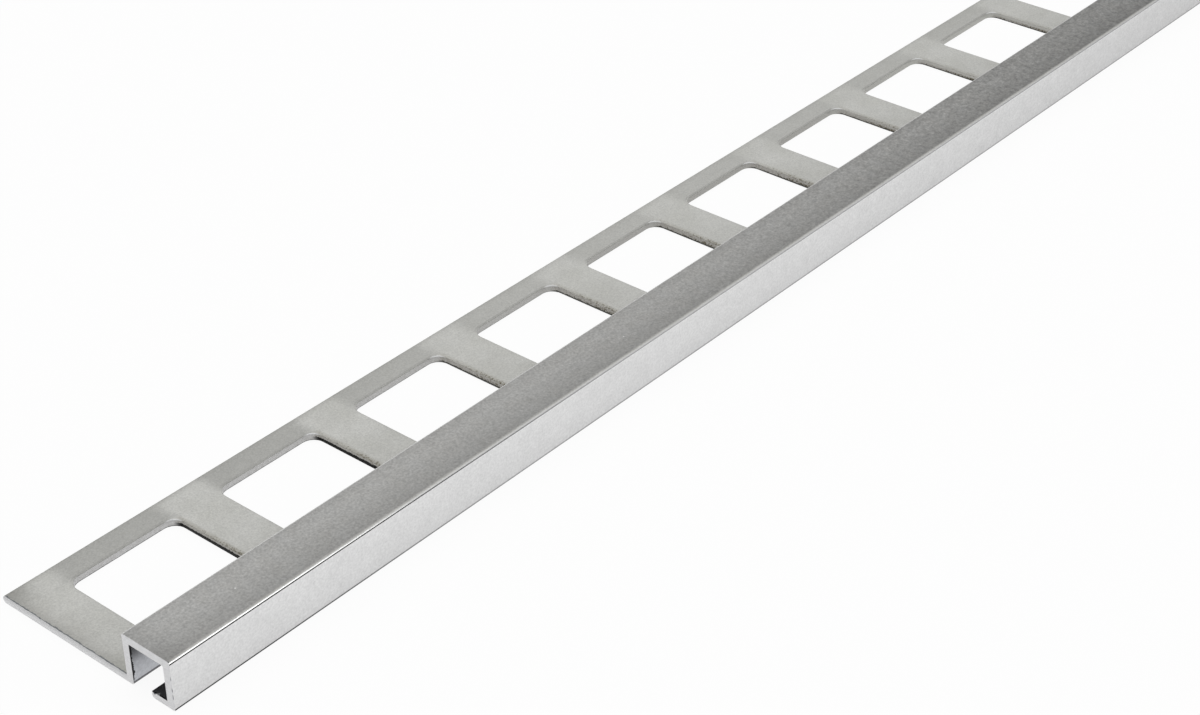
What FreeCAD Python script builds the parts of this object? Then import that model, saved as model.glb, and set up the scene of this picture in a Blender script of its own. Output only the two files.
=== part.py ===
import FreeCAD, Part
import math
import os

# Tile edge trim: one extruded length of aluminium with a square box edge and a punched anchoring leg.
# Lengths are in millimetres. X runs along the trim, the visible outer face looks to -Y, the leg
# reaches out to +Y, and the trim lies on the underside of its leg at Z = 0.

# Stock length
trim_length = 1000.0

# Box edge, which frames the tile
box_height = 8.0
box_width = 9.0
top_wall = 1.25
outer_wall = 1.35
web_wall = 1.2
lip_wall = 1.0
lip_reach = 4.3

# Anchoring leg, measured from the tile side of the web
leg_reach = 25.0
leg_wall = 1.2

# Punched windows in the leg
window_length = 19.0
window_pitch = 26.85
window_web_strip = 3.0
window_free_strip = 4.5
window_corner_radius = 2.0
window_end_strip_min = 3.0

# Edges of the extrusion
outer_top_radius = 0.5
tile_top_radius = 0.3
outer_foot_radius = 0.2
lip_tip_radius = 0.5
web_foot_radius = 0.4
channel_corner_radius = 0.4

# Largest share of a wall that an edge radius may take
radius_share = 0.9

# How far a punch passes the leg on both faces
punch_overrun = 1.0

# Outlines with a shorter run than this between two arcs close without a line
shortest_run = 0.001


def limited(radius, *walls):
    """An edge radius, kept inside the walls that it rounds."""
    return min([radius] + [radius_share * wall for wall in walls])


def corner_tangents(before, corner, after, radius):
    """Where an arc of this radius leaves and meets the two sides of a corner, and its middle."""
    to_before = (before - corner).normalize()
    to_after = (after - corner).normalize()
    half_angle = to_before.getAngle(to_after) / 2.0
    setback = radius / math.tan(half_angle)
    bisector = (to_before + to_after).normalize()
    centre = corner + bisector * (radius / math.sin(half_angle))
    return corner + to_before * setback, centre - bisector * radius, corner + to_after * setback


def rounded_wire(corners):
    """A closed wire through (point, radius) corners, with an arc wherever a radius is given."""
    stations = []
    count = len(corners)
    for index, (corner, radius) in enumerate(corners):
        if radius > 0.0:
            before = corners[index - 1][0]
            after = corners[(index + 1) % count][0]
            stations.append(corner_tangents(before, corner, after, radius))
        else:
            stations.append((corner,))
    edges = []
    for index, station in enumerate(stations):
        if len(station) == 3:
            edges.append(Part.Arc(*station).toShape())
        start = station[-1]
        end = stations[(index + 1) % count][0]
        if (end - start).Length > shortest_run:
            edges.append(Part.LineSegment(start, end).toShape())
    return Part.Wire(Part.__sortEdges__(edges))


def profile_face():
    """The extruded section in the plane of the left-hand sawn end."""
    total_width = box_width + leg_reach
    section_x = -trim_length / 2.0
    outer_y = -total_width / 2.0
    nose_radius = leg_wall / 2.0

    def at(across, up):
        return FreeCAD.Vector(section_x, outer_y + across, up)

    channel_outer = outer_wall
    channel_inner = box_width - web_wall
    channel_top = box_height - top_wall
    outline = [
        (at(0.0, 0.0), limited(outer_foot_radius, outer_wall, lip_wall)),
        (at(lip_reach, 0.0), limited(lip_tip_radius, lip_wall)),
        (at(lip_reach, lip_wall), 0.0),
        (at(channel_outer, lip_wall), 0.0),
        (at(channel_outer, channel_top), limited(channel_corner_radius, outer_wall, top_wall)),
        (at(channel_inner, channel_top), 0.0),
        (at(channel_inner, 0.0), limited(web_foot_radius, leg_wall, web_wall)),
        (at(total_width, 0.0), nose_radius),
        (at(total_width, leg_wall), nose_radius),
        (at(box_width, leg_wall), 0.0),
        (at(box_width, box_height), limited(tile_top_radius, web_wall, top_wall)),
        (at(0.0, box_height), limited(outer_top_radius, outer_wall, top_wall)),
    ]
    return Part.Face(rounded_wire(outline))


def window_count():
    """How many windows the stock length holds with sound metal left at both sawn ends."""
    room = trim_length - 2.0 * window_end_strip_min - window_length
    return int(math.floor(room / window_pitch)) + 1


def window_punch(centre_x):
    """One punch: a rectangle with rounded corners that passes through the leg."""
    web_y = box_width - (box_width + leg_reach) / 2.0
    near_y = web_y + window_web_strip
    far_y = web_y + leg_reach - window_free_strip
    low_x = centre_x - window_length / 2.0
    high_x = centre_x + window_length / 2.0
    radius = limited(window_corner_radius, window_length / 2.0, (far_y - near_y) / 2.0)
    base = [(low_x, near_y), (high_x, near_y), (high_x, far_y), (low_x, far_y)]
    corners = [(FreeCAD.Vector(x, y, -punch_overrun), radius) for x, y in base]
    face = Part.Face(rounded_wire(corners))
    return face.extrude(FreeCAD.Vector(0.0, 0.0, leg_wall + 2.0 * punch_overrun))


def edge_trim():
    """The extruded length with its row of windows, centred between the sawn ends."""
    stock = profile_face().extrude(FreeCAD.Vector(trim_length, 0.0, 0.0))
    count = window_count()
    first_x = -window_pitch * (count - 1) / 2.0
    punches = [window_punch(first_x + window_pitch * index) for index in range(count)]
    return stock.cut(Part.makeCompound(punches)).Solids[0]


os.makedirs("parts", exist_ok=True)
trim = edge_trim()
trim.exportStep("parts/edge_trim_profile.step")
print("edge_trim_profile", trim.isValid(), round(trim.Volume, 1), "mm3,", window_count(), "windows")
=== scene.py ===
import math

import bmesh
import bpy
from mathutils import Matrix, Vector


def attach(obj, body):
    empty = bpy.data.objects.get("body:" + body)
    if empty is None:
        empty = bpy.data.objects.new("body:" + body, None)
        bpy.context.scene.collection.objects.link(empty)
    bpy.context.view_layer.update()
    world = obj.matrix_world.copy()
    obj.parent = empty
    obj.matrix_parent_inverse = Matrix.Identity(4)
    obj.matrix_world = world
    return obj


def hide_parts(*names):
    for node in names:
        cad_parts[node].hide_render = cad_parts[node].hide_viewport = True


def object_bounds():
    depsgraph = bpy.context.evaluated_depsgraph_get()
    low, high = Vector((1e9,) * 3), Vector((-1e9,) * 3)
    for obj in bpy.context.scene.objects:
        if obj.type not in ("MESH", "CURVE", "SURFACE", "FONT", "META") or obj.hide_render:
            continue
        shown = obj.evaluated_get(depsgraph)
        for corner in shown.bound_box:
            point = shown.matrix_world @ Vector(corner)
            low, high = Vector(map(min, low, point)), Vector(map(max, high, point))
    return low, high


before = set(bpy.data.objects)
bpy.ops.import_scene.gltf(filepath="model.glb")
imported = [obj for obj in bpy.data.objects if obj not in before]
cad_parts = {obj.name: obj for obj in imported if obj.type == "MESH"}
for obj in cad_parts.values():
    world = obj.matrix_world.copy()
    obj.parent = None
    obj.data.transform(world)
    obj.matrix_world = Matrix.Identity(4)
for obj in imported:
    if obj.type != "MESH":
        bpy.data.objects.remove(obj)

# Sizes are written in millimetres, and the mesh and the node inputs take metres
MM = 0.001

NODE = "edge_trim_profile"
CAD_LOW, CAD_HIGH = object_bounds()

# The profile's own sizes, as in the solid
BOX_HEIGHT = 8.0
BOX_WIDTH = 9.0
TOP_WALL = 1.25
OUTER_WALL = 1.35
WEB_WALL = 1.2
LIP_WALL = 1.0
LIP_REACH = 4.3
LEG_WALL = 1.2
WINDOW_LENGTH = 19.0
WINDOW_PITCH = 26.85
WINDOW_WEB_STRIP = 3.0
WINDOW_FREE_STRIP = 4.5
WINDOW_CORNER_RADIUS = 2.0
WINDOW_COUNT = 37

OUTER_TOP_RADIUS = 0.5
TILE_TOP_RADIUS = 0.3
OUTER_FOOT_RADIUS = 0.2
LIP_TIP_RADIUS = 0.5
WEB_FOOT_RADIUS = 0.4
CHANNEL_CORNER_RADIUS = 0.4

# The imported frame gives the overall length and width
TRIM_LENGTH = (CAD_HIGH.x - CAD_LOW.x) / MM
OUTER_Y = CAD_LOW.y / MM
WEB_Y = OUTER_Y + BOX_WIDTH
FREE_Y = CAD_HIGH.y / MM
LIP_Y = OUTER_Y + LIP_REACH
WINDOW_NEAR_Y = WEB_Y + WINDOW_WEB_STRIP
WINDOW_FAR_Y = FREE_Y - WINDOW_FREE_STRIP
HALF_WINDOW = WINDOW_LENGTH / 2.0

# The leg's flat middle, between a root strip by the web and the rounded nose
ROOT_STRIP = 1.2
ROOT_Y = WEB_Y + ROOT_STRIP
NOSE_Y = FREE_Y - LEG_WALL / 2.0

# Finishes, in the order of the piece's material slots
LEG, TOP, OUTER, EDGE, SAWN, WALL, INSIDE = range(7)

# The outer top arc, in degrees down from the top face: satin, matt and polished, then satin again.
# The die's dull line takes the polished part below its own angle.
OUTER_ARC_STEPS = 30
OUTER_ARC_FINISHES = ((12.0, TOP), (42.0, LEG), (85.0, EDGE))
DULL_LINE_ANGLE = 67.0
ANGLE_SLACK = 0.01

# Punched rim, as (distance out from the hole, depth under the leg's top) from the surface down
DIE_ROLL = [(0.55, 0.0), (0.36, 0.008), (0.22, 0.03), (0.1, 0.07), (0.03, 0.12), (0.0, 0.19)]
BURNISHED_DEPTH = 0.74
TEAR_FLARE = 0.05

# How finely the arcs and the windows' rims are drawn
ARC_STEPS = 8
FOOT_ARC_STEPS = 6
NOSE_ARC_STEPS = 12
CORNER_STEPS = 8
RIM_STEP = 0.85

# Points nearer than this are one point, and edges turning by more than this many degrees stay sharp
WELD_DISTANCE = 0.002
SHARP_ANGLE = 50.0

# A direction this near a diagonal goes to the corner of its window's cell
DIAGONAL_SLACK = 0.001


def on_circle(centre, radius, degrees):
    """The point of a circle in this direction."""
    angle = math.radians(degrees)
    return centre[0] + radius * math.cos(angle), centre[1] + radius * math.sin(angle)


def arc(centre, radius, start, end, steps=ARC_STEPS):
    """Points round an arc, from one angle to another in degrees."""
    return [on_circle(centre, radius, start + (end - start) * step / steps) for step in range(steps + 1)]


def between(start, goal, spacing):
    """Evenly spaced points on a straight run, without its two ends."""
    run_x = goal[0] - start[0]
    run_y = goal[1] - start[1]
    count = max(1, round(math.hypot(run_x, run_y) / spacing))
    return [(start[0] + run_x * step / count, start[1] + run_y * step / count) for step in range(1, count)]


def outer_arc_finish(degrees):
    """The finish of the outer top arc from this far down from the top face."""
    for limit, finish in OUTER_ARC_FINISHES:
        if degrees < limit - ANGLE_SLACK:
            return finish
    return OUTER


def box_outline():
    """The section from the leg's top, over the box edge and back to the leg's underside.

    Returns (across, up, finish of the strip that follows) for each point.
    """
    outline = []

    def run(points, finish, after_last=None):
        """Adds points with one finish, and another for the strip after the last of them."""
        outline.extend((y, z, finish) for y, z in points)
        if after_last is not None:
            outline[-1] = (*points[-1], after_last)

    top = BOX_HEIGHT
    channel_top = BOX_HEIGHT - TOP_WALL
    channel_y = OUTER_Y + OUTER_WALL
    inner_y = WEB_Y - WEB_WALL
    run([(ROOT_Y, LEG_WALL)], LEG)
    run([(WEB_Y, LEG_WALL)], OUTER)
    r = TILE_TOP_RADIUS
    run(arc((WEB_Y - r, top - r), r, 0.0, 90.0), EDGE, TOP)
    r = OUTER_TOP_RADIUS
    for step, point in enumerate(arc((OUTER_Y + r, top - r), r, 90.0, 180.0, OUTER_ARC_STEPS)):
        run([point], outer_arc_finish(90.0 * step / OUTER_ARC_STEPS))
    r = OUTER_FOOT_RADIUS
    run(arc((OUTER_Y + r, r), r, 180.0, 270.0, FOOT_ARC_STEPS), EDGE, INSIDE)
    r = LIP_TIP_RADIUS
    run(arc((LIP_Y - r, r), r, 270.0, 360.0), EDGE)
    run([(LIP_Y, LIP_WALL), (channel_y, LIP_WALL)], INSIDE)
    r = CHANNEL_CORNER_RADIUS
    run(arc((channel_y + r, channel_top - r), r, 180.0, 90.0), INSIDE)
    run([(inner_y, channel_top)], INSIDE)
    r = WEB_FOOT_RADIUS
    run(arc((inner_y + r, r), r, 180.0, 270.0), EDGE, LEG)
    run([(ROOT_Y, 0.0)], LEG)
    return outline


def nose_outline():
    """The rounded free edge of the leg, from its underside up to its top."""
    r = LEG_WALL / 2.0
    return [(y, z, LEG) for y, z in arc((NOSE_Y, r), r, -90.0, 90.0, NOSE_ARC_STEPS)]


def window_centres():
    """The middle of each window along X, centred between the sawn ends."""
    first = -WINDOW_PITCH * (WINDOW_COUNT - 1) / 2.0
    return [first + WINDOW_PITCH * index for index in range(WINDOW_COUNT)]


def border_point(point, normal, cell_corner):
    """Where a rim point's strip meets the border of its cell: straight out, or at the cell's corner."""
    lean = abs(normal[0]) - abs(normal[1])
    if abs(lean) < DIAGONAL_SLACK:
        return cell_corner
    return (cell_corner[0], point[1]) if lean > 0.0 else (point[0], cell_corner[1])


def window_outline():
    """Points round a window centred on X = 0.

    Returns (place, outward direction, place on the cell's border) for each point.
    """
    r = WINDOW_CORNER_RADIUS
    cell_x = WINDOW_PITCH / 2.0
    corners = [
        ((HALF_WINDOW - r, WINDOW_FAR_Y - r), 0.0, (cell_x, NOSE_Y)),
        ((-HALF_WINDOW + r, WINDOW_FAR_Y - r), 90.0, (-cell_x, NOSE_Y)),
        ((-HALF_WINDOW + r, WINDOW_NEAR_Y + r), 180.0, (-cell_x, ROOT_Y)),
        ((HALF_WINDOW - r, WINDOW_NEAR_Y + r), 270.0, (cell_x, ROOT_Y)),
    ]
    outline = []

    def add(point, degrees, cell_corner):
        normal = on_circle((0.0, 0.0), 1.0, degrees)
        outline.append((point, normal, border_point(point, normal, cell_corner)))

    for index, (centre, start, cell_corner) in enumerate(corners):
        curve = arc(centre, r, start, start + 90.0, CORNER_STEPS)
        for step, point in enumerate(curve):
            add(point, start + 90.0 * step / CORNER_STEPS, cell_corner)
        next_centre, next_start, _ = corners[(index + 1) % len(corners)]
        for point in between(curve[-1], on_circle(next_centre, r, next_start), RIM_STEP):
            add(point, next_start, cell_corner)
    return outline


class MeshDraft:
    """Vertices, faces and the finish of each face, gathered in millimetres."""

    def __init__(self):
        self.vertices = []
        self.faces = []
        self.finishes = []

    def point(self, x, y, z):
        self.vertices.append((x * MM, y * MM, z * MM))
        return len(self.vertices) - 1

    def face(self, corners, finish):
        self.faces.append(corners)
        self.finishes.append(finish)

    def extrude(self, outline, stations):
        """Strips along X through an open outline. The last point's finish isn't used."""
        rows = [[self.point(x, y, z) for y, z, _ in outline] for x in stations]
        for left, right in zip(rows, rows[1:]):
            for index in range(len(outline) - 1):
                corners = (left[index], left[index + 1], right[index + 1], right[index])
                self.face(corners, outline[index][2])

    def strip(self, ring, next_ring, finish):
        """Faces between two closed rings of the same count."""
        count = len(ring)
        for index in range(count):
            after = (index + 1) % count
            self.face((ring[index], next_ring[index], next_ring[after], ring[after]), finish)


def add_window_cell(draft, centre_x, outline):
    """One pitch of the leg: top face, die roll, punched wall and underside round a window."""
    rim = [(outward, LEG_WALL - depth) for outward, depth in DIE_ROLL]
    wall = [(0.0, LEG_WALL - BURNISHED_DEPTH), (TEAR_FLARE, 0.0)]
    rings = [[draft.point(centre_x + x, y, LEG_WALL) for _, _, (x, y) in outline]]
    for outward, z in rim + wall:
        rings.append([
            draft.point(centre_x + x + nx * outward, y + ny * outward, z)
            for (x, y), (nx, ny), _ in outline
        ])
    rings.append([draft.point(centre_x + x, y, 0.0) for _, _, (x, y) in outline])
    for index, (ring, next_ring) in enumerate(zip(rings, rings[1:])):
        on_wall = len(rim) <= index < len(rim) + len(wall)
        draft.strip(ring, next_ring, WALL if on_wall else LEG)


def add_plain_leg(draft, low_x, high_x):
    """The unpunched leg between a sawn end and the first cell."""
    for z in (LEG_WALL, 0.0):
        corners = [
            draft.point(x, y, z)
            for x, y in ((low_x, ROOT_Y), (high_x, ROOT_Y), (high_x, NOSE_Y), (low_x, NOSE_Y))
        ]
        draft.face(corners if z > 0.0 else corners[::-1], LEG)


def draft_trim():
    """The box edge and the nose as strips, the punched leg as cells, and the two sawn ends."""
    draft = MeshDraft()
    centres = window_centres()
    half = TRIM_LENGTH / 2.0
    first_x = centres[0] - WINDOW_PITCH / 2.0
    last_x = centres[-1] + WINDOW_PITCH / 2.0
    stations = [-half, first_x] + [x + WINDOW_PITCH / 2.0 for x in centres] + [half]
    box = box_outline()
    nose = nose_outline()
    draft.extrude(box, stations)
    draft.extrude(nose, stations)
    window = window_outline()
    for centre_x in centres:
        add_window_cell(draft, centre_x, window)
    add_plain_leg(draft, -half, first_x)
    add_plain_leg(draft, last_x, half)
    for x in (-half, half):
        cap = [draft.point(x, y, z) for y, z, _ in box + nose]
        draft.face(cap if x > 0.0 else cap[::-1], SAWN)
    return draft


def trim_mesh():
    """The whole trim as one welded mesh that faces outwards."""
    draft = draft_trim()
    mesh = bpy.data.meshes.new("edge_trim")
    mesh.from_pydata(draft.vertices, [], draft.faces)
    mesh.polygons.foreach_set("material_index", draft.finishes)
    welded = bmesh.new()
    welded.from_mesh(mesh)
    bmesh.ops.remove_doubles(welded, verts=welded.verts, dist=WELD_DISTANCE * MM)
    bmesh.ops.recalc_face_normals(welded, faces=welded.faces)
    welded.to_mesh(mesh)
    welded.free()
    return mesh


def linear(*srgb):
    """A colour written as 0 to 255, as a shader takes it."""
    values = [c / 255.0 for c in srgb]
    values = [c / 12.92 if c <= 0.04045 else ((c + 0.055) / 1.055) ** 2.4 for c in values]
    return (*values, 1.0)


class Graph:
    """Short calls for building a node tree."""

    def __init__(self, tree):
        self.tree = tree

    def node(self, kind, **settings):
        made = self.tree.nodes.new(kind)
        for name, value in settings.items():
            setattr(made, name, value)
        return made

    def link(self, source, target):
        if isinstance(source, (int, float, tuple)):
            target.default_value = source
        else:
            self.tree.links.new(source, target)

    def math(self, operation, a, b=0.0, c=0.0):
        made = self.node("ShaderNodeMath", operation=operation)
        for value, socket in zip((a, b, c), made.inputs):
            self.link(value, socket)
        return made.outputs[0]

    def times(self, a, b):
        return self.math("MULTIPLY", a, b)

    def mix(self, factor, a, b):
        made = self.node("ShaderNodeMix", data_type="RGBA")
        self.link(factor, made.inputs["Factor"])
        self.link(a, made.inputs["A"])
        self.link(b, made.inputs["B"])
        return made.outputs["Result"]

    def toned(self, colour, factor, *srgb):
        """The colour, mixed by this factor with another that is written as 0 to 255."""
        return self.mix(factor, colour, linear(*srgb))

    def scaled(self, colour, factor):
        made = self.node("ShaderNodeVectorMath", operation="SCALE")
        if isinstance(colour, tuple):
            made.inputs[0].default_value = colour[:3]
        else:
            self.link(colour, made.inputs[0])
        self.link(factor, made.inputs["Scale"])
        return made.outputs[0]

    def ramp(self, value, low, high, out_low=0.0, out_high=1.0):
        """A smooth step from one level to another, level outside its two limits."""
        made = self.node("ShaderNodeMapRange", interpolation_type="SMOOTHSTEP")
        self.link(value, made.inputs["Value"])
        self.link(low, made.inputs["From Min"])
        self.link(high, made.inputs["From Max"])
        self.link(out_low, made.inputs["To Min"])
        self.link(out_high, made.inputs["To Max"])
        return made.outputs["Result"]

    def ramp_mm(self, value, low, high, out_low=0.0, out_high=1.0):
        """A ramp between two places or distances that are written in millimetres."""
        return self.ramp(value, low * MM, high * MM, out_low, out_high)

    def along(self, x, low, high, out_low=0.0, out_high=1.0):
        """A ramp between two distances from the left-hand sawn end, in millimetres."""
        left = -TRIM_LENGTH / 2.0
        return self.ramp_mm(x, left + low, left + high, out_low, out_high)

    def levels(self, value, low, high, stops):
        """Grey levels joined by straight lines, given as (share of the way, level)."""
        share = self.node("ShaderNodeMapRange")
        self.link(value, share.inputs["Value"])
        share.inputs["From Min"].default_value = low
        share.inputs["From Max"].default_value = high
        made = self.node("ShaderNodeValToRGB")
        made.color_ramp.interpolation = "LINEAR"
        while len(made.color_ramp.elements) < len(stops):
            made.color_ramp.elements.new(0.5)
        for element, (place, level) in zip(made.color_ramp.elements, stops):
            element.position = place
            element.color = (level, level, level, 1.0)
        self.link(share.outputs["Result"], made.inputs[0])
        return made.outputs["Color"]

    def levels_mm(self, value, low, high, stops):
        """Levels between two places or distances that are written in millimetres."""
        return self.levels(value, low * MM, high * MM, stops)

    def axes(self, vector):
        made = self.node("ShaderNodeSeparateXYZ")
        self.link(vector, made.inputs[0])
        return made.outputs

    def position(self):
        return self.node("ShaderNodeTexCoord").outputs["Object"]

    def facing(self):
        """The X, Y and Z of the direction that the surface faces."""
        return self.axes(self.node("ShaderNodeTexCoord").outputs["Normal"])

    def stretched(self, vector, scale):
        made = self.node("ShaderNodeVectorMath", operation="MULTIPLY")
        self.link(vector, made.inputs[0])
        made.inputs[1].default_value = scale
        return made.outputs[0]

    def noise(self, vector, grains_per_mm, detail=2.0, roughness=0.5, scale=(1.0, 1.0, 1.0)):
        made = self.node("ShaderNodeTexNoise")
        self.link(self.stretched(vector, scale), made.inputs["Vector"])
        made.inputs["Scale"].default_value = grains_per_mm / MM
        made.inputs["Detail"].default_value = detail
        made.inputs["Roughness"].default_value = roughness
        return made.outputs["Fac"]

    def grained(self, colour, place, fine, coarse, per_mm=2.6):
        """The colour with grain in it: fine specks, and soft spots of two millimetres."""
        specks = self.noise(place, per_mm, 1.5, 0.8)
        spots = self.noise(place, 0.5, 2.0, 0.6)
        factor = self.math("MULTIPLY_ADD", specks, fine, 1.0 - (fine + coarse) / 2.0)
        return self.scaled(colour, self.math("MULTIPLY_ADD", spots, coarse, factor))

    def mottled(self, colour, place, x, most):
        """The colour with spots of a millimetre in it, strongest a quarter to a third of the way along."""
        strength = self.along(x, 30.0, 240.0, 0.0, most)
        strength = self.times(strength, self.along(x, 330.0, 480.0, 1.0, 0.25))
        spots = self.math("SUBTRACT", self.noise(place, 1.1, 3.0, 0.75), 0.5)
        return self.scaled(colour, self.math("MULTIPLY_ADD", spots, strength, 1.0))

    def bump(self, height, depth_mm):
        made = self.node("ShaderNodeBump")
        made.inputs["Strength"].default_value = 1.0
        made.inputs["Distance"].default_value = depth_mm * MM
        self.link(height, made.inputs["Height"])
        return made.outputs["Normal"]


def new_metal(name, metallic, roughness):
    """A material with one metal shader on it."""
    material = bpy.data.materials.new(name)
    material.use_nodes = True
    graph = Graph(material.node_tree)
    shader = material.node_tree.nodes["Principled BSDF"]
    shader.inputs["Metallic"].default_value = metallic
    shader.inputs["Roughness"].default_value = roughness
    return material, graph, shader


def from_end(g, x):
    """Distance from the nearer sawn end, in metres."""
    return g.math("SUBTRACT", TRIM_LENGTH / 2.0 * MM, g.math("ABSOLUTE", x))


def window_phase(g, x):
    """Distance along the trim from the middle of the nearest window, in metres and with its sign."""
    turns = g.math("DIVIDE", x, WINDOW_PITCH * MM)
    share = g.math("SUBTRACT", g.math("FRACT", g.math("ADD", turns, 0.5)), 0.5)
    return g.times(share, WINDOW_PITCH * MM)


def towards_box(g, y):
    """From 1 at the windows' side by the box edge, falling to none at their outer side."""
    rise = g.ramp_mm(y, WINDOW_NEAR_Y + 3.0, WINDOW_FAR_Y - 1.0, 1.0, 0.45)
    rise = g.times(rise, g.ramp_mm(y, WEB_Y, WEB_Y + 0.2))
    return g.times(rise, g.ramp_mm(y, WINDOW_FAR_Y - 1.4, WINDOW_FAR_Y - 0.2, 1.0, 0.0))


def stains(g, place, density):
    """Specks of old oil from the punch, closer together where the density is high."""
    specks = g.noise(place, 3.2, 3.0, 0.75)
    edge = g.math("MULTIPLY_ADD", density, -0.3, 0.74)
    return g.ramp(g.math("SUBTRACT", specks, edge), -0.06, 0.11)


def dots(g, place, apart_mm, radius_mm, share):
    """A few small round marks, about one in each cube of this size, on a share of the cubes."""
    made = g.node("ShaderNodeTexVoronoi")
    g.link(place, made.inputs["Vector"])
    made.inputs["Scale"].default_value = 1.0 / (apart_mm * MM)
    reach = radius_mm / apart_mm
    dot = g.ramp(made.outputs["Distance"], 0.4 * reach, reach, 1.0, 0.0)
    chosen = g.math("LESS_THAN", g.axes(made.outputs["Color"])[0], share)
    return g.times(dot, chosen)


# The leg's tone from the web to the free edge, as (share of the way, level), low by the web as painted
# shade
LEG_LEVELS = [(0.0, 0.95), (0.3, 0.975), (0.5, 1.0), (0.72, 1.035), (0.8, 1.01), (1.0, 1.0)]


def leg_metal():
    """Matt mill finish of the anchoring leg, slightly warm, with the marks of punching and sawing, and
    painted shade and highlights by the web, round the windows and on the box edge's arc.
    """
    material, g, shader = new_metal("leg_mill_finish", 0.2, 0.5)
    place = g.position()
    x, y, z = g.axes(place)
    by_end = from_end(g, x)
    along = window_phase(g, x)
    blotch = g.noise(place, 0.16, 2.0)
    colour = g.mix(g.ramp(blotch, 0.3, 0.7), linear(196, 196, 191), linear(203, 203, 199))
    colour = g.scaled(colour, g.levels_mm(y, WEB_Y, FREE_Y, LEG_LEVELS))
    colour = free_edge_tones(g, colour, along, y, by_end)
    colour = end_darkening(g, colour, y, by_end, blotch)
    colour = root_shade(g, colour, y)
    colour = lubricant_and_shade(g, colour, place, along, y, by_end)
    colour = die_roll_highlight_and_shade(g, colour, y)
    colour = top_burr(g, colour, place, z, by_end)
    colour = arc_shoulder_shade(g, colour, y)
    colour = g.grained(colour, place, 0.6, 0.1, 3.6)
    g.link(colour, shader.inputs["Base Color"])
    g.link(g.bump(g.noise(place, 2.2, 3.0, 0.6), 0.006), shader.inputs["Normal"])
    return material


def free_edge_tones(g, colour, along, y, by_end):
    """The free edge's strip, darker beside each window and along its rim, and less so far from an end."""
    beside = g.ramp_mm(g.math("ABSOLUTE", along), HALF_WINDOW - 1.6, HALF_WINDOW + 1.2, 1.0, 0.0)
    strip = g.ramp_mm(y, WINDOW_FAR_Y - 1.0, WINDOW_FAR_Y)
    strip = g.times(strip, g.ramp_mm(by_end, 35.0, 110.0, 1.0, 0.5))
    colour = g.toned(colour, g.times(beside, strip), 176, 176, 172)
    rim = g.ramp_mm(y, FREE_Y - 1.6, FREE_Y - 0.3)
    rim = g.times(rim, g.ramp_mm(by_end, 35.0, 110.0, 0.5, 0.3))
    return g.toned(colour, rim, 166, 166, 161)


def end_darkening(g, colour, y, by_end, blotch):
    """Darker by each sawn end, darkest at its corner on the free edge."""
    end_band = g.ramp_mm(g.math("MULTIPLY_ADD", blotch, 5.0 * MM, by_end), 2.0, 6.5, 1.0, 0.0)
    colour = g.toned(colour, g.times(end_band, 0.6), 171, 170, 165)
    colour = g.scaled(colour, g.ramp_mm(by_end, 0.2, 1.6, 0.9, 1.0))
    corner = g.ramp_mm(by_end, 1.0, 5.0, 1.0, 0.0)
    corner = g.times(corner, g.ramp_mm(y, FREE_Y - 6.0, FREE_Y - 0.5))
    return g.toned(colour, g.times(corner, 0.55), 140, 140, 135)


def root_shade(g, colour, y):
    """Painted shade on the leg beside the web, in the corner where it meets the box, with a slightly
    greener tone.
    """
    root = g.ramp_mm(y, WEB_Y + 0.3, WEB_Y + 5.0, 1.0, 0.0)
    root = g.times(root, g.ramp_mm(y, WEB_Y - 0.2, WEB_Y))
    return g.toned(colour, g.times(root, 0.5), 188, 189, 180)


def lubricant_and_shade(g, colour, place, along, y, by_end):
    """Painted shade on the leg along the right-hand end of each window, and stains there where the punch
    left them.
    """
    at_end = g.ramp_mm(along, HALF_WINDOW - 1.5, HALF_WINDOW - 1.0)
    clear_of_web = g.ramp_mm(y, WINDOW_NEAR_Y, WINDOW_NEAR_Y + WINDOW_CORNER_RADIUS)
    at_end = g.times(at_end, clear_of_web)
    shade = g.ramp_mm(along, HALF_WINDOW + 0.1, HALF_WINDOW + 0.8, 1.0, 0.0)
    shade = g.times(shade, g.ramp_mm(y, WINDOW_FAR_Y - 1.2, WINDOW_FAR_Y, 1.0, 0.0))
    shade = g.times(shade, g.ramp_mm(by_end, 40.0, 90.0, 1.0, 0.6))
    density = g.ramp_mm(along, HALF_WINDOW, HALF_WINDOW + 1.1, 0.9, 0.0)
    density = g.times(g.times(density, at_end), towards_box(g, y))
    density = g.times(density, g.ramp_mm(by_end, 165.0, 215.0, 1.0, 0.55))
    # Painted shade along the window's right-hand end
    colour = g.toned(colour, g.times(g.times(at_end, shade), 0.5), 156, 153, 144)
    colour = g.toned(colour, g.times(density, 0.3), 150, 146, 132)
    return g.toned(colour, stains(g, place, density), 110, 104, 88)


def die_roll_highlight_and_shade(g, colour, y):
    """Painted light on the windows' rounded rims: a painted highlight round one outer corner, painted
    shade along the outer side.
    """
    nx, ny, _ = g.facing()
    # Painted highlight where the rim tilts towards -X and -Y
    corner = g.times(g.ramp(nx, -0.3, -0.06, 1.0, 0.0), g.ramp(ny, -0.3, -0.06, 1.0, 0.0))
    colour = g.toned(colour, g.times(corner, 0.75), 226, 227, 228)
    # Painted shade along the rim of the windows' outer side
    side = g.ramp(g.math("ABSOLUTE", nx), 0.05, 0.2, 1.0, 0.0)
    side = g.times(g.ramp(ny, -0.16, -0.04, 1.0, 0.0), side)
    side = g.times(side, g.ramp_mm(y, WEB_Y, WEB_Y + 1.0))
    return g.toned(colour, g.times(side, 0.6), 158, 158, 154)


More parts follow.
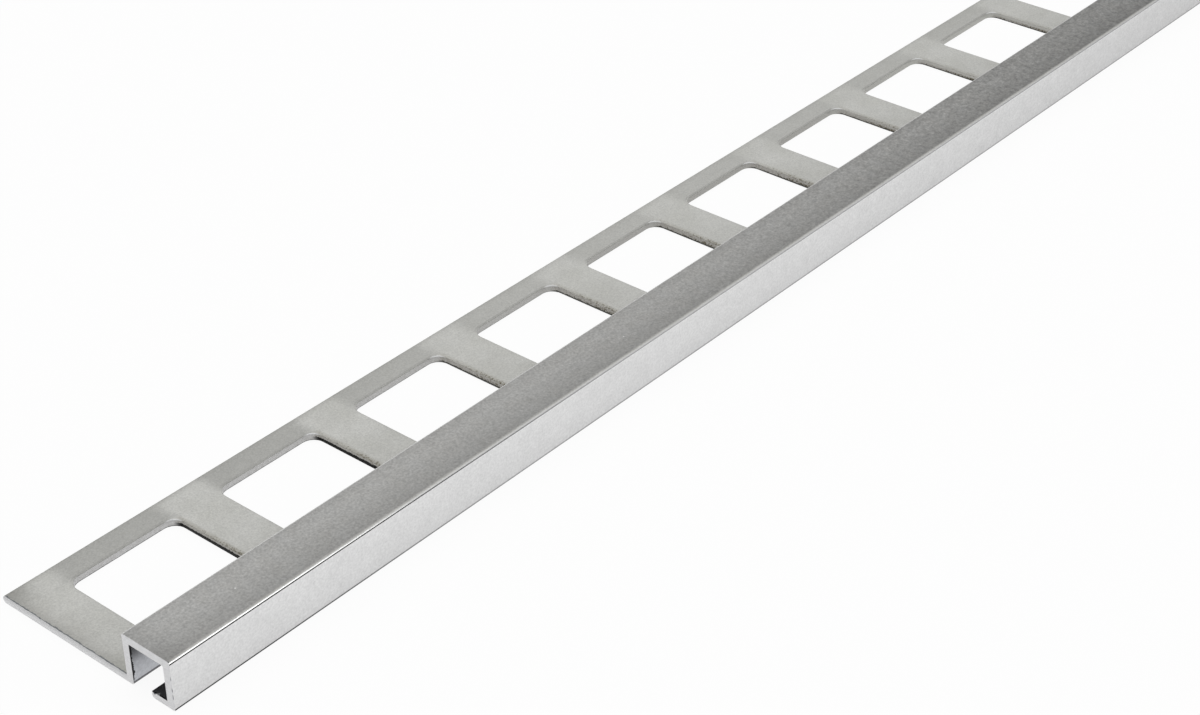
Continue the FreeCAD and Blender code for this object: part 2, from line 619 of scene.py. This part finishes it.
def top_burr(g, colour, place, z, by_end):
    """A ragged dark burr on the leg's top edge at each sawn end."""
    reach = g.math("MULTIPLY_ADD", g.noise(place, 1.1, 2.0, 0.7), 0.5 * MM, -0.08 * MM)
    burr = g.ramp_mm(g.math("SUBTRACT", reach, by_end), -0.05, 0.05)
    burr = g.times(burr, g.ramp_mm(z, LEG_WALL - 0.05, LEG_WALL - 0.01))
    return g.toned(colour, g.times(burr, 0.8), 96, 101, 106)


def arc_shoulder_shade(g, colour, y):
    """Painted shade on the matt part of the box edge's outer arc, darker towards the top face."""
    shoulder_shade = g.ramp_mm(y, OUTER_Y + 0.12, OUTER_Y + 0.42, 0.0, 0.34)
    on_box = g.ramp_mm(y, WEB_Y, WEB_Y + 0.1, -1.0, 0.0)
    return g.scaled(colour, g.math("MULTIPLY_ADD", shoulder_shade, on_box, 1.0))


# The top face's tone from the outer edge to the web, darker towards the outer edge as painted shade, and
# the share of it that the metal takes
TOP_LEVELS = [
    (0.0, 0.505), (0.045, 0.49), (0.075, 0.51), (0.3, 0.575),
    (0.5, 0.625), (0.7, 0.675), (0.9, 0.64), (1.0, 0.59),
]
TOP_SHARE = 0.78

# How the top face darkens away from the nearer sawn end as painted shade, over this many millimetres
TOP_FADE_LENGTH = 300.0
TOP_FADE = [
    (0.0, 0.965), (0.1, 0.965), (0.2, 0.985), (0.35, 0.985),
    (0.5, 0.93), (0.65, 0.865), (0.8, 0.8), (1.0, 0.8),
]


def top_metal():
    """Satin top face with soft mottling, and painted shade: darker towards the outer edge and along the
    middle of the trim.
    """
    material, g, shader = new_metal("top_satin", 0.9, 0.4)
    place = g.position()
    x, y, _ = g.axes(place)
    by_end = from_end(g, x)
    warmth = g.ramp(g.noise(place, 0.35, 2.0), 0.3, 0.7)
    colour = g.mix(warmth, (1.0, 0.997, 0.975, 1.0), (0.975, 0.967, 0.938, 1.0))
    colour = g.scaled(colour, g.levels_mm(y, OUTER_Y, WEB_Y, TOP_LEVELS))
    colour = g.scaled(colour, TOP_SHARE)
    colour = g.scaled(colour, g.ramp_mm(by_end, 0.0, 5.0, 0.84, 1.0))
    colour = g.scaled(colour, g.levels_mm(by_end, 0.0, TOP_FADE_LENGTH, TOP_FADE))
    colour = g.toned(colour, dots(g, place, 6.0, 0.14, 0.3), 240, 240, 240)
    colour = g.grained(colour, place, 0.86, 0.13)
    colour = g.mottled(colour, place, x, 1.5)
    g.link(colour, shader.inputs["Base Color"])
    g.link(g.bump(g.noise(place, 1.2, 3.0, 0.6), 0.004), shader.inputs["Normal"])
    return material


# The outer face's tone from its foot to the top, darker low down as painted shade
OUTER_LEVELS = [(0.0, 0.64), (0.15, 0.67), (0.4, 0.7), (0.65, 0.715), (0.94, 0.745), (1.0, 0.72)]


def outer_metal():
    """Bright satin outer face with fine grain, and painted shade: darker low down, with a dark line along
    its foot.
    """
    material, g, shader = new_metal("outer_satin", 0.9, 0.36)
    place = g.position()
    x, _, z = g.axes(place)
    colour = g.scaled((1.0, 1.0, 1.0, 1.0), g.levels_mm(z, 0.0, BOX_HEIGHT, OUTER_LEVELS))
    # Painted shade: a dark line along the foot, strongest near the left-hand sawn end
    foot = g.ramp_mm(z, 0.3, 0.42, 1.0, 0.0)
    foot = g.times(foot, g.along(x, 10.0, 70.0, 0.97, 0.5))
    colour = g.toned(colour, foot, 20, 20, 20)
    colour = g.toned(colour, g.times(dots(g, place, 7.0, 0.22, 0.3), 0.6), 120, 120, 120)
    colour = g.grained(colour, place, 0.4, 0.13)
    colour = g.mottled(colour, place, x, 0.3)
    g.link(colour, shader.inputs["Base Color"])
    g.link(g.bump(g.noise(place, 2.5, 3.0, 0.6), 0.004), shader.inputs["Normal"])
    return material


def edge_metal():
    """The extrusion's rounded edges: polished by the die, with a dull line along each flat, and painted
    shade along the feet.
    """
    material, g, shader = new_metal("die_polished_edge", 0.4, 0.12)
    x, y, z = g.axes(g.position())
    outside = g.ramp_mm(y, OUTER_Y + 0.5, OUTER_Y + 0.8, 1.0, 0.0)
    line_z = BOX_HEIGHT - OUTER_TOP_RADIUS * (1.0 - math.cos(math.radians(DULL_LINE_ANGLE)))
    line = g.times(g.ramp_mm(z, line_z - 0.02, line_z + 0.02, 1.0, 0.0), outside)
    line_tone = g.mix(g.along(x, 25.0, 100.0), linear(10, 10, 10), linear(176, 176, 176))
    colour = g.mix(line, linear(240, 240, 239), line_tone)
    # Painted shade on the outer foot's arc, darkest near the left-hand sawn end
    foot = g.ramp_mm(z, OUTER_FOOT_RADIUS, OUTER_FOOT_RADIUS * 1.6, 1.0, 0.0)
    foot_shade_tone = g.mix(g.along(x, 10.0, 70.0), linear(24, 24, 24), linear(150, 150, 150))
    colour = g.mix(g.times(foot, outside), colour, foot_shade_tone)
    # Painted shade at the web's foot
    web_foot_shade = g.times(g.ramp_mm(z, 0.3, 0.5, 1.0, 0.0), g.ramp_mm(y, WEB_Y - 2.0, WEB_Y - 1.9))
    colour = g.toned(colour, web_foot_shade, 92, 92, 94)
    g.link(colour, shader.inputs["Base Color"])
    return material


def sawn_metal():
    """Sawn end: bright, with fine saw lines and dark broken marks."""
    material, g, shader = new_metal("sawn_end", 0.7, 0.42)
    place = g.position()
    _, y, z = g.axes(place)
    lines = g.noise(place, 1.2, 3.0, 0.7, scale=(1.0, 0.6, 6.0))
    colour = g.mix(g.ramp(lines, 0.3, 0.7), linear(213, 213, 214), linear(228, 228, 229))
    on_leg = g.ramp_mm(y, WEB_Y, WEB_Y + 0.2)
    # Darker towards the top of the leg's sawn end
    darker_high = g.times(on_leg, g.ramp_mm(z, 0.35, 0.95, 0.0, 0.16))
    colour = g.scaled(colour, g.math("SUBTRACT", 1.0, darker_high))
    marks = g.math("MAXIMUM", sawn_burr(g, place, z, on_leg), corner_dashes(g, place, y, z))
    marks = g.math("MAXIMUM", marks, lip_nick(g, y, z))
    colour = g.toned(colour, marks, 74, 80, 87)
    colour = g.grained(colour, place, 0.2, 0.05)
    g.link(colour, shader.inputs["Base Color"])
    g.link(g.bump(lines, 0.01), shader.inputs["Normal"])
    return material


def sawn_burr(g, place, z, on_leg):
    """A jagged, broken burr along the top edge of the leg's sawn end."""
    broken = g.ramp(g.noise(place, 0.6, 3.0, 0.75), 0.36, 0.54)
    jagged = g.math("MULTIPLY_ADD", g.noise(place, 1.4, 2.0), 0.3 * MM, (LEG_WALL - 0.22) * MM)
    burr = g.times(g.ramp_mm(g.math("SUBTRACT", z, jagged), 0.0, 0.06), on_leg)
    return g.times(burr, broken)


def corner_dashes(g, place, y, z):
    """Short dark dashes down the outer face's edge of the sawn end."""
    corner = g.ramp_mm(y, OUTER_Y + 0.1, OUTER_Y + 0.2, 1.0, 0.0)
    dashes = g.times(corner, g.ramp(g.noise(place, 0.9, 1.0), 0.42, 0.58))
    return g.times(dashes, g.ramp_mm(z, 5.0, 6.0, 1.0, 0.0))


def lip_nick(g, y, z):
    """A small dark nick in the top edge of the lip's sawn end, near its tip."""
    aside = g.math("ABSOLUTE", g.math("SUBTRACT", y, (LIP_Y - 0.5) * MM))
    away = g.math("ABSOLUTE", g.math("SUBTRACT", z, LIP_WALL * MM))
    return g.ramp_mm(g.math("MULTIPLY_ADD", aside, 0.9, away), 0.3, 0.36, 1.0, 0.0)


def wall_metal():
    """Punched walls, with oil at the right-hand end of each window, where the punch left it, and painted
    shade in a dark band low on the walls there.
    """
    material, g, shader = new_metal("punched_wall", 0.6, 0.5)
    place = g.position()
    x, y, z = g.axes(place)
    nx, _, _ = g.facing()
    by_end = from_end(g, x)
    by_box = towards_box(g, y)
    tear = g.noise(place, 2.4, 3.0, 0.7, scale=(1.0, 1.0, 0.5))
    facing_end = g.ramp(nx, -0.98, -0.6, 1.0, 0.0)
    deeper_near_end = g.ramp_mm(by_end, 55.0, 85.0, 1.0, 0.0)
    low_shade = low_shade_band(g, place, z, by_end, by_box, deeper_near_end)
    end_facing_wall = stained_wall(g, place, z, by_box, tear)
    # Painted shade: a dark band low on the walls that face the left-hand end, near black close to the sawn
    # ends
    end_facing_wall = g.mix(low_shade, end_facing_wall, g.mix(deeper_near_end, linear(66, 65, 60), linear(6, 4, 3)))
    # Lighter in the middle of those walls far from the sawn ends
    lighter_far_out = g.ramp_mm(by_end, 165.0, 215.0)
    lighter_far_out = g.times(lighter_far_out, g.ramp_mm(z, 0.4, 0.75, 0.0, 0.85))
    end_facing_wall = g.toned(end_facing_wall, lighter_far_out, 192, 191, 186)
    colour = g.mix(facing_end, sheared_wall(g, x, z, tear), end_facing_wall)
    g.link(colour, shader.inputs["Base Color"])
    # Fully metallic where the painted shade is near black, so it stays dark
    darkest_shade = g.times(g.times(facing_end, low_shade), deeper_near_end)
    g.link(g.math("MULTIPLY_ADD", darkest_shade, 0.4, 0.6), shader.inputs["Metallic"])
    g.link(g.bump(tear, 0.03), shader.inputs["Normal"])
    return material


def sheared_wall(g, x, z, tear):
    """Sheared bright above and torn below, with a dark line at the lower edge, changing along the trim."""
    colour = g.mix(g.ramp(tear, 0.35, 0.65), linear(203, 203, 203), linear(190, 189, 188))
    torn_z = g.math("MULTIPLY_ADD", tear, 0.2 * MM, 0.02 * MM)
    colour = g.toned(colour, g.ramp_mm(g.math("SUBTRACT", torn_z, z), -0.04, 0.04), 160, 160, 160)
    line_z = g.math("MULTIPLY_ADD", tear, 0.16 * MM, 0.03 * MM)
    colour = g.toned(colour, g.ramp_mm(g.math("SUBTRACT", line_z, z), -0.03, 0.03), 84, 84, 86)
    colour = g.toned(colour, g.along(x, 10.0, 160.0), 174, 173, 169)
    return g.toned(colour, g.along(x, 160.0, 230.0), 191, 191, 186)


def stained_wall(g, place, z, by_box, tear):
    """Dull metal with stains, thickest low down and by the box edge."""
    colour = g.mix(g.ramp(tear, 0.35, 0.65), linear(176, 174, 170), linear(162, 159, 153))
    low_down = g.ramp_mm(z, 0.2, 1.3, 1.15, 0.2)
    return g.toned(colour, stains(g, place, g.times(low_down, by_box)), 96, 88, 70)


def low_shade_band(g, place, z, by_end, by_box, deeper_near_end):
    """Painted shade in a ragged dark band low on the wall, highest near a sawn end and by the box edge."""
    less = g.ramp_mm(by_end, 80.0, 220.0, 0.0, -0.14 * MM)
    height = g.math("MULTIPLY_ADD", deeper_near_end, 0.3 * MM, less)
    height = g.math("MULTIPLY_ADD", by_box, 0.1 * MM, height)
    height = g.math("MULTIPLY_ADD", g.noise(place, 1.6, 3.0, 0.8), 0.6 * MM, height)
    return g.ramp_mm(g.math("SUBTRACT", height, z), -0.03, 0.03)


def inside_metal():
    """Inside of the channel, with painted shade: dark under the top face, lighter down by its slot, and
    darker at the web's foot and on the lip's upper face.
    """
    material, g, shader = new_metal("channel_inside", 0.8, 0.42)
    place = g.position()
    x, y, z = g.axes(place)
    by_end = from_end(g, x)
    streak = g.noise(place, 0.8, 3.0, scale=(0.08, 1.0, 1.0))
    colour = g.mix(streak, linear(194, 196, 200), linear(214, 216, 221))
    # Painted shade: dark under the top face, a little darker again low down
    colour = g.toned(colour, g.times(g.ramp_mm(z, 2.9, 6.4), 0.85), 112, 112, 114)
    colour = g.scaled(colour, g.ramp_mm(z, 0.6, 3.0, 0.9, 1.0))
    colour = g.grained(colour, place, 0.5, 0.3)
    # Painted shade at the web's foot
    foot = g.times(g.ramp_mm(z, 0.5, 0.66, 1.0, 0.0), g.ramp_mm(y, WEB_Y - 1.6, WEB_Y - 1.5))
    colour = g.toned(colour, foot, 96, 96, 99)
    # Painted shade on the lip's upper face inside the channel
    on_lip = g.ramp_mm(z, LIP_WALL + 0.3, LIP_WALL + 0.6, 1.0, 0.0)
    on_lip = g.times(on_lip, g.ramp_mm(y, LIP_Y + 0.1, LIP_Y + 0.4, 1.0, 0.0))
    colour = g.toned(colour, g.times(on_lip, 0.9), 88, 88, 89)
    colour = g.toned(colour, mouth_burr(g, place, z, by_end), 40, 40, 42)
    colour = g.toned(colour, g.times(lip_tooth(g, y, by_end), on_lip), 205, 206, 208)
    g.link(colour, shader.inputs["Base Color"])
    return material


def mouth_burr(g, place, z, by_end):
    """A ragged dark burr just inside the channel's mouth, thinner near the foot."""
    reach = g.math("MULTIPLY_ADD", g.noise(place, 1.5, 2.0, 0.7), 0.9 * MM, -0.16 * MM)
    reach = g.times(reach, g.ramp_mm(z, 0.4, 1.6, 0.3, 1.0))
    return g.ramp_mm(g.math("SUBTRACT", reach, by_end), -0.05, 0.05)


def lip_tooth(g, y, by_end):
    """A small bright tooth of metal on the lip's upper face, at the sawn end."""
    aside = g.math("ABSOLUTE", g.math("SUBTRACT", y, (LIP_Y - 1.1) * MM))
    return g.ramp_mm(g.math("MULTIPLY_ADD", aside, 1.3, by_end), 0.42, 0.5, 1.0, 0.0)


def add_trim():
    """The trim with its finishes, riding on the one body in place of the plain solid."""
    trim = bpy.data.objects.new("edge_trim", trim_mesh())
    bpy.context.collection.objects.link(trim)
    for make in (leg_metal, top_metal, outer_metal, edge_metal, sawn_metal, wall_metal, inside_metal):
        trim.data.materials.append(make())
    trim.data.polygons.foreach_set("use_smooth", [True] * len(trim.data.polygons))
    trim.data.set_sharp_from_angle(angle=math.radians(SHARP_ANGLE))
    weighted = trim.modifiers.new("face_weights", "WEIGHTED_NORMAL")
    weighted.keep_sharp = True
    weighted.mode = "FACE_AREA"
    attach(trim, "root")
    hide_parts(NODE)


# Camera: its place from the outer foot of the left-hand sawn end, in millimetres, its direction in
# degrees, and its focal length in pixels of the picture's width
CAMERA_FROM_END = (-135.08, -180.99, 197.74)
CAMERA_HEADING = 39.61
CAMERA_ELEVATION = 33.36
CAMERA_FOCAL_PIXELS = 2325.4
PICTURE_WIDTH = 1200
SENSOR_WIDTH = 36.0
CLIP_START = 0.01
CLIP_END = 50.0


def add_camera():
    data = bpy.data.cameras.new("camera")
    data.sensor_width = SENSOR_WIDTH
    data.lens = CAMERA_FOCAL_PIXELS / PICTURE_WIDTH * SENSOR_WIDTH
    data.clip_start = CLIP_START
    data.clip_end = CLIP_END
    camera = bpy.data.objects.new("camera", data)
    bpy.context.collection.objects.link(camera)
    corner = Vector((CAD_LOW.x, CAD_LOW.y, 0.0))
    camera.location = corner + Vector(CAMERA_FROM_END) * MM
    camera.rotation_euler = (
        math.radians(90.0 - CAMERA_ELEVATION),
        0.0,
        math.radians(CAMERA_HEADING - 90.0),
    )
    bpy.context.scene.camera = camera


# The floor, in metres, and its colour
FLOOR_HALF = 8.0
FLOOR_LEVEL = 0.95

# Share of plain white in the floor as it is seen. The rest is lit, and keeps the object's shadow.
FLOOR_WHITE = 0.92

# How the floor's glow in the metal falls off along X, in metres
FLOOR_FADE_START = -0.45
FLOOR_FADE_END = 0.05
FLOOR_FADE = 0.7


def add_floor():
    """A white floor that keeps the object's shadow."""
    half = FLOOR_HALF
    mesh = bpy.data.meshes.new("floor")
    corners = [(-half, -half, 0.0), (half, -half, 0.0), (half, half, 0.0), (-half, half, 0.0)]
    mesh.from_pydata(corners, [], [(0, 1, 2, 3)])
    mesh.materials.append(floor_white())
    floor = bpy.data.objects.new("floor", mesh)
    bpy.context.collection.objects.link(floor)


def floor_white():
    """A lit white, blended with a plain white for the camera and for the metal's reflections."""
    material = bpy.data.materials.new("floor_white")
    material.use_nodes = True
    g = Graph(material.node_tree)
    nodes = material.node_tree.nodes
    shader = nodes["Principled BSDF"]
    shader.inputs["Base Color"].default_value = (FLOOR_LEVEL, FLOOR_LEVEL, FLOOR_LEVEL, 1.0)
    shader.inputs["Roughness"].default_value = 1.0
    shader.inputs["Specular IOR Level"].default_value = 0.0
    light = g.node("ShaderNodeEmission")
    light.inputs["Color"].default_value = (1.0, 1.0, 1.0, 1.0)
    path = g.node("ShaderNodeLightPath")
    x, _, _ = g.axes(g.position())
    fading = g.ramp(x, FLOOR_FADE_START, FLOOR_FADE_END, 1.0, FLOOR_FADE)
    g.link(g.math("MAXIMUM", fading, path.outputs["Is Camera Ray"]), light.inputs["Strength"])
    seen = g.math("MAXIMUM", path.outputs["Is Camera Ray"], path.outputs["Is Glossy Ray"])
    seen = g.math("MAXIMUM", seen, path.outputs["Is Transmission Ray"])
    blend = g.node("ShaderNodeMixShader")
    g.link(g.times(seen, FLOOR_WHITE), blend.inputs[0])
    g.link(shader.outputs[0], blend.inputs[1])
    g.link(light.outputs[0], blend.inputs[2])
    g.link(blend.outputs[0], nodes["Material Output"].inputs["Surface"])
    return material


# Sky levels by the height of the direction, from 0 to 1, as shares of the peak overhead
SKY_PEAK = 1.32
SKY_LEVELS = [
    (0.0, 0.05), (0.12, 0.07), (0.3, 0.17), (0.42, 0.3), (0.5, 0.42),
    (0.6, 0.55), (0.7, 0.69), (0.85, 0.89), (1.0, 1.0),
]


def add_world():
    """Soft studio surroundings: bright overhead, falling off to a dark skirting at the horizon."""
    world = bpy.data.worlds.new("studio")
    bpy.context.scene.world = world
    world.use_nodes = True
    g = Graph(world.node_tree)
    background = world.node_tree.nodes["Background"]
    _, _, height = g.axes(g.node("ShaderNodeTexCoord").outputs["Generated"])
    level = g.times(g.levels(height, 0.0, 1.0, SKY_LEVELS), SKY_PEAK)
    path = g.node("ShaderNodeLightPath")
    level = g.math("MAXIMUM", level, path.outputs["Is Camera Ray"])
    g.link(level, background.inputs["Strength"])
    background.inputs["Color"].default_value = (1.0, 1.0, 1.0, 1.0)


# Soft box beside the trim, in metres, watts and degrees
SOFT_BOX_PLACE = Vector((0.12, -1.22, 0.42))
SOFT_BOX_TARGET = Vector((-0.5, 0.0, 0.0))
SOFT_BOX_SIZE = (0.42, 0.75)
SOFT_BOX_POWER = 0.15
SOFT_BOX_SPREAD = 40.0


def add_soft_box():
    """A soft box that lights the polished outer edge near the left-hand sawn end."""
    data = bpy.data.lights.new("side_soft_box", "AREA")
    data.shape = "RECTANGLE"
    data.size, data.size_y = SOFT_BOX_SIZE
    data.energy = SOFT_BOX_POWER
    data.spread = math.radians(SOFT_BOX_SPREAD)
    light = bpy.data.objects.new("side_soft_box", data)
    bpy.context.collection.objects.link(light)
    light.location = SOFT_BOX_PLACE
    light.rotation_euler = (SOFT_BOX_TARGET - SOFT_BOX_PLACE).to_track_quat("-Z", "Y").to_euler()


def main():
    bpy.context.scene.view_settings.view_transform = "Standard"
    add_trim()
    add_camera()
    add_floor()
    add_world()
    add_soft_box()


main()
